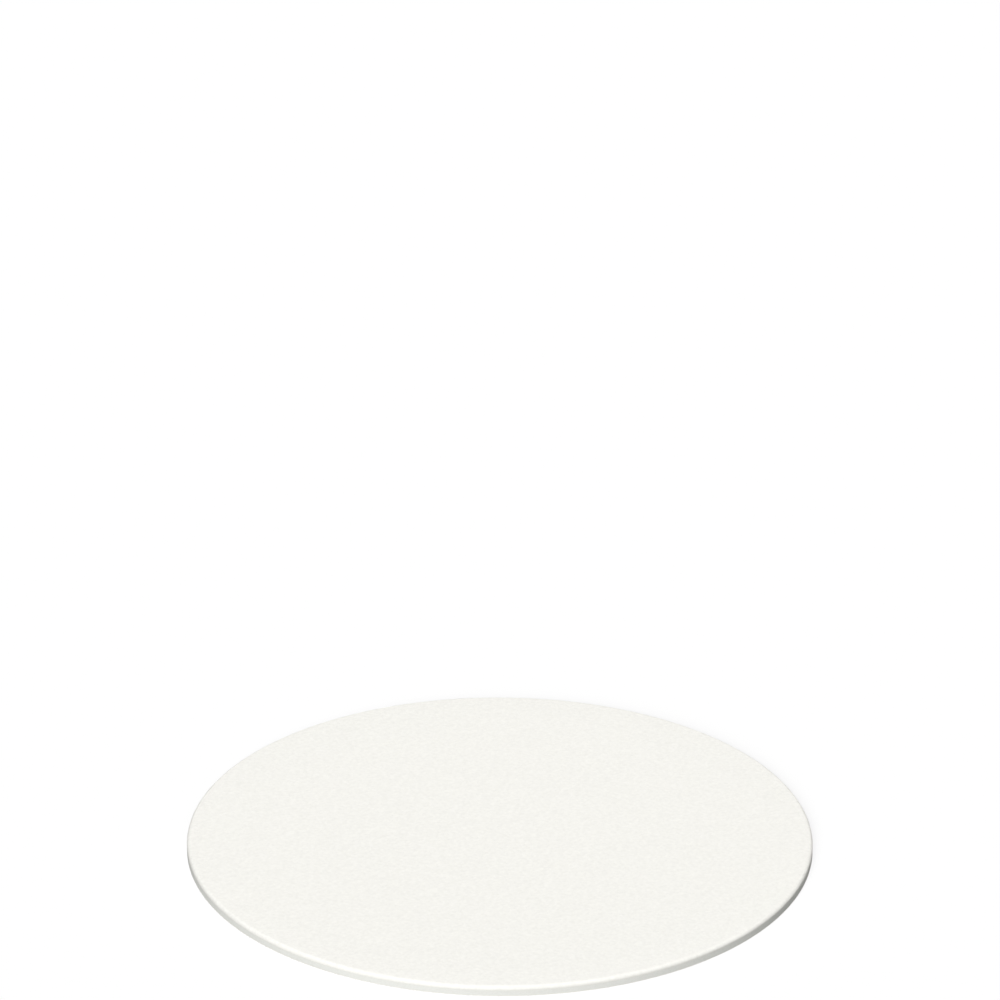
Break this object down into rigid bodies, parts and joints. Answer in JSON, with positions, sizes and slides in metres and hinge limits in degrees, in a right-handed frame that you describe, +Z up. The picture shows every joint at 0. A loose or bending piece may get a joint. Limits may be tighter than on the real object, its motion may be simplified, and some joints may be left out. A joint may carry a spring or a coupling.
{
  "type": "drink coaster",
  "caption": "Round flat absorbent coaster of laminated pulp board, with plain matte paper faces and a rounded upper edge, that a drinking glass or cup stands on.",
  "frame": {"origin": "centre of the underside, on the surface that the coaster lies on", "axes": "+Z up along the disc's axis, out of the face; X and Y lie in the underside and have no preferred direction, because the disc is round; the picture is seen from -Y"},
  "size_m": [0.095, 0.095, 0.0016],
  "materials": {
    "face_paper": "matte uncoated white paper",
    "back_paper": "matte uncoated white paper",
    "pulp_core": "bleached pulp board, cut and fibrous at the edge",
    "glue": "dried starch and dispersion glue, dull"
  },
  "bodies": {
    "root": {"back_paper": "back_paper", "back_glue_film": "glue", "core_board": "pulp_core", "face_glue_film": "glue", "face_paper": "face_paper"}
  },
  "joints": []
}
